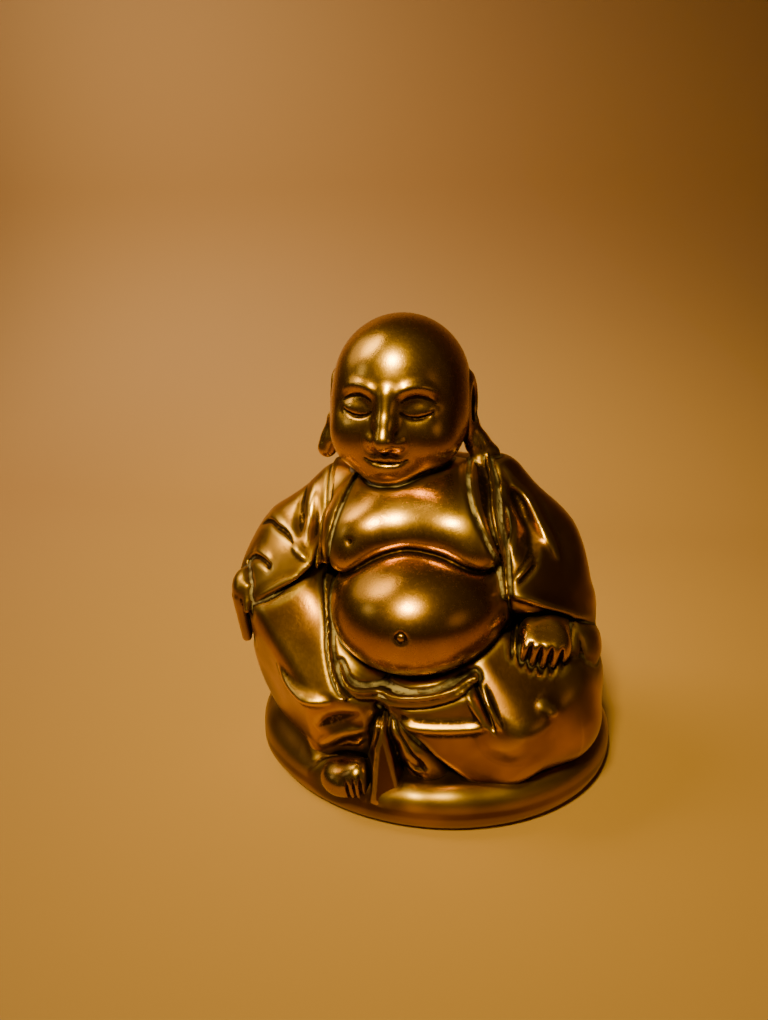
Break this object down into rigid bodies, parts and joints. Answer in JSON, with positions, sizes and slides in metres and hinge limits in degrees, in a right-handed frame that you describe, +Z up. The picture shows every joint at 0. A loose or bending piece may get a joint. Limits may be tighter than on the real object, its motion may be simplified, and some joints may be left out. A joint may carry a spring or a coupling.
{
  "type": "buddha statue",
  "caption": "Small cast brass seated monk figure with a bare round belly, open robe and long ears, on a low cushion base.",
  "frame": {"origin": "middle of the flat underside of the base", "axes": "+Z up through the figure, which faces -Y; the figure's own right side is at -X"},
  "size_m": [0.0903, 0.0808, 0.105],
  "materials": {
    "skin_brass": "hand-polished cast brass, worn bright on the high points",
    "robe_brass": "aged cast brass, half-polished, dark in the folds with pale dried polish",
    "plinth_brass": "aged cast brass, brown patina, rubbed bright on the rim",
    "plate_brass": "dull turned brass plate"
  },
  "bodies": {
    "root": {"plinth": "plinth_brass", "base_plate": "plate_brass", "head": "skin_brass", "torso": "skin_brass", "right_hand": "skin_brass", "left_hand": "skin_brass", "right_foot": "skin_brass", "robe_back": "robe_brass", "right_lapel": "robe_brass", "left_lapel": "robe_brass", "waist_sash": "robe_brass", "right_sleeve": "robe_brass", "left_sleeve": "robe_brass", "right_leg": "robe_brass", "left_leg": "robe_brass", "robe_drape": "robe_brass", "cloth_sack": "robe_brass"}
  },
  "joints": []
}
